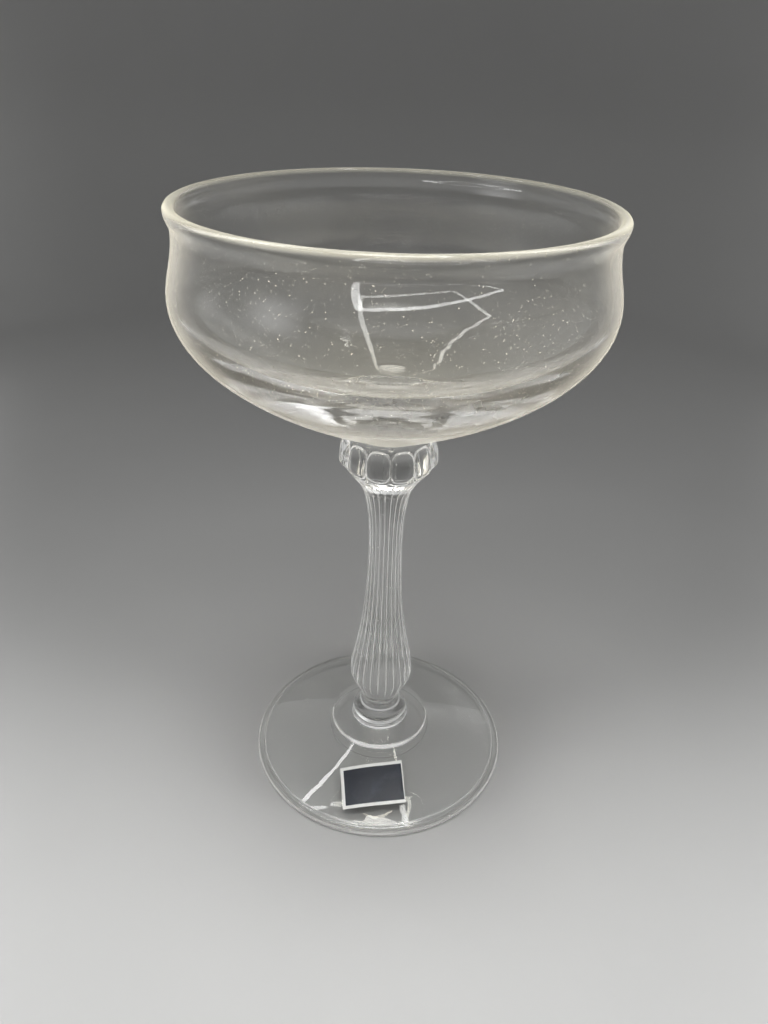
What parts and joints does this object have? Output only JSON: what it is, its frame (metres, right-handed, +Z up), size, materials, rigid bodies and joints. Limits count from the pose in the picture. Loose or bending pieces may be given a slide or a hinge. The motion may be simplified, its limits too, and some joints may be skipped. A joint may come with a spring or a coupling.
{
  "type": "coupe glass",
  "caption": "Clear glass coupe: wide saucer bowl with a drawn-in band and rounded rim, lobed knop, fluted baluster stem, stepped collar, conical foot and a plain foil label.",
  "frame": {"origin": "centre of the foot, on the plane that it stands on", "axes": "+Z up along the axis of the glass, -Y towards the label and the picture's camera, +X to the right"},
  "size_m": [0.097, 0.097, 0.1547],
  "materials": {
    "clear_glass": "clear pressed glass, fire polished",
    "bowl_glass": "clear blown glass with a faint warm tint at its edges",
    "label_foil": "dark glossy foil sticker with a plain pale border"
  },
  "bodies": {
    "root": {"foot": "clear_glass", "collar": "clear_glass", "stem": "clear_glass", "knop": "clear_glass", "bowl": "bowl_glass", "label": "label_foil"}
  },
  "joints": []
}
